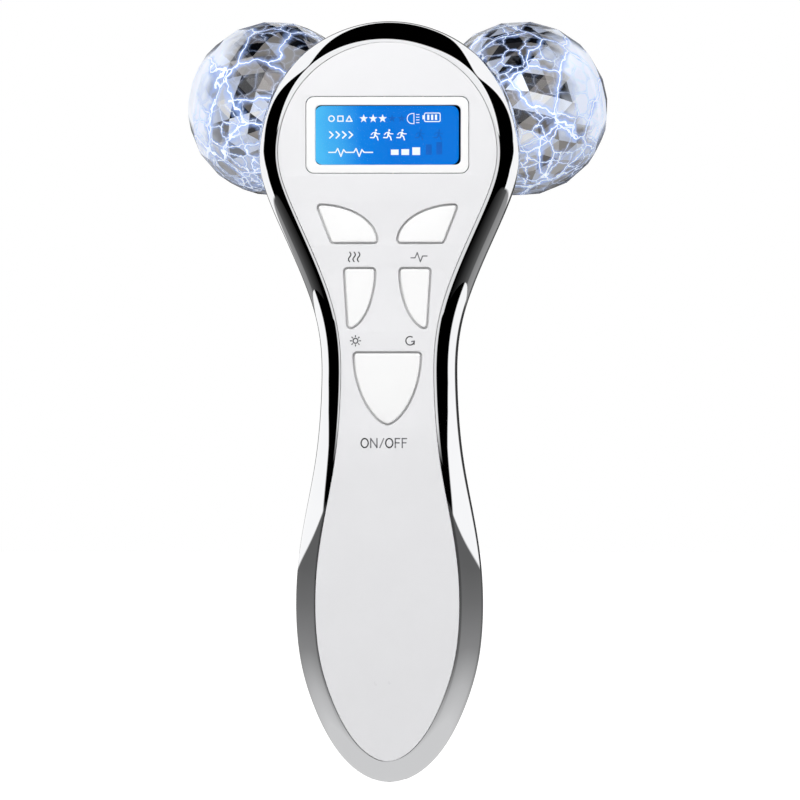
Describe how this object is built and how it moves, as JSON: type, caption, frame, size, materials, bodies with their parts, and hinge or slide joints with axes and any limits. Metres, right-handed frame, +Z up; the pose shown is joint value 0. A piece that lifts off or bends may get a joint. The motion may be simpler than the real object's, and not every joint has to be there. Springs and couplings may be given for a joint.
{
  "type": "facial toning device",
  "caption": "Hand-held facial toning device: chrome-cased handle with a round display head, push buttons, a vibration motor and two faceted rollers on splayed axles.",
  "frame": {"origin": "middle of the charging slot's mouth, at the bottom tip of the case, on the parting plane of its two halves", "axes": "+Z up the handle to the head, +Y from the face plate to the rollers at the back, +X to the right as the display is read"},
  "size_m": [0.0946, 0.0538, 0.1703],
  "materials": {
    "chrome": "mirror-bright plated",
    "pearl_plate": "silvery pearl lacquer",
    "white_gloss": "glossy white",
    "clear_window": "clear, polished",
    "display_blue": "lit blue display with pale symbols",
    "white_matte": "matte white",
    "nylon": "moulded nylon",
    "black_rubber": "soft black",
    "black_plastic": "matte black",
    "circuit_green": "green solder mask",
    "steel": "plain turned steel",
    "brass": "plain brass",
    "battery_can": "blue film over a metal can",
    "yellow_tape": "thin polyester tape",
    "red_wire": "insulated wire",
    "lamp_blue": "clear lamp lens",
    "crystal": "clear faceted, polished",
    "silver_foil": "metallised faceted liner with a fine pale-blue vein pattern",
    "grey_ink": "printed marks"
  },
  "bodies": {
    "case": {"rear_housing": "chrome", "bezel_ring": "chrome", "chassis": "nylon", "face_plate": "pearl_plate", "display_frame": "white_gloss", "display_lens": "clear_window", "display_gasket": "black_rubber", "lcd_glass": "display_blue", "lcd_backlight": "white_matte", "lcd_pins": "brass", "main_board": "circuit_green", "board_chips": "black_plastic", "board_screws": "steel", "switch_bodies": "steel", "battery_cell": "battery_can", "battery_tape": "yellow_tape", "motor_can": "steel", "charge_socket": "steel", "charge_board": "circuit_green", "wiring": "red_wire", "case_screws": "steel", "yoke": "chrome", "yoke_seal": "black_rubber", "yoke_screws": "steel", "axle_left": "steel", "axle_right": "steel", "axle_washers": "steel", "axle_clips": "steel", "roller_lamps": "lamp_blue"},
    "vibration_key": {"vibration_button": "white_gloss", "vibration_plunger": "black_plastic"},
    "current_key": {"current_button": "white_gloss", "current_plunger": "black_plastic"},
    "light_key": {"light_button": "white_gloss", "light_plunger": "black_plastic"},
    "mode_key": {"mode_button": "white_gloss", "mode_plunger": "black_plastic"},
    "power_key": {"power_button": "white_gloss", "power_plunger": "black_plastic"},
    "motor_rotor": {"motor_shaft": "steel", "eccentric_weight": "brass"},
    "left_roller": {"crystal_inner_left": "crystal", "crystal_outer_left": "crystal", "reflector_left": "silver_foil", "spool_left": "nylon", "bush_inner_left": "brass", "bush_outer_left": "brass"},
    "right_roller": {"crystal_inner_right": "crystal", "crystal_outer_right": "crystal", "reflector_right": "silver_foil", "spool_right": "nylon", "bush_inner_right": "brass", "bush_outer_right": "brass"}
  },
  "joints": [
    {"name": "vibration_press", "type": "slide", "parent": "case", "child": "vibration_key", "axis": [0, 1, 0], "range_m": [0, 0.0005], "stiffness_N_per_m": 400},
    {"name": "current_press", "type": "slide", "parent": "case", "child": "current_key", "axis": [0, 1, 0], "range_m": [0, 0.0005], "stiffness_N_per_m": 400},
    {"name": "light_press", "type": "slide", "parent": "case", "child": "light_key", "axis": [0, 1, 0], "range_m": [0, 0.0005], "stiffness_N_per_m": 400},
    {"name": "mode_press", "type": "slide", "parent": "case", "child": "mode_key", "axis": [0, 1, 0], "range_m": [0, 0.0005], "stiffness_N_per_m": 400},
    {"name": "power_press", "type": "slide", "parent": "case", "child": "power_key", "axis": [0, 1, 0], "range_m": [0, 0.0005], "stiffness_N_per_m": 400},
    {"name": "motor_spin", "type": "hinge", "parent": "case", "child": "motor_rotor", "pos_m": [0, 0.0036, 0.0734], "axis": [0, 0, 1], "continuous": true},
    {"name": "left_roller_spin", "type": "hinge", "parent": "case", "child": "left_roller", "pos_m": [-0.0276, 0.0265, 0.1509], "axis": [-0.846, 0.4751, 0.2421], "continuous": true},
    {"name": "right_roller_spin", "type": "hinge", "parent": "case", "child": "right_roller", "pos_m": [0.0276, 0.0265, 0.1509], "axis": [0.846, 0.4751, 0.2421], "continuous": true}
  ]
}
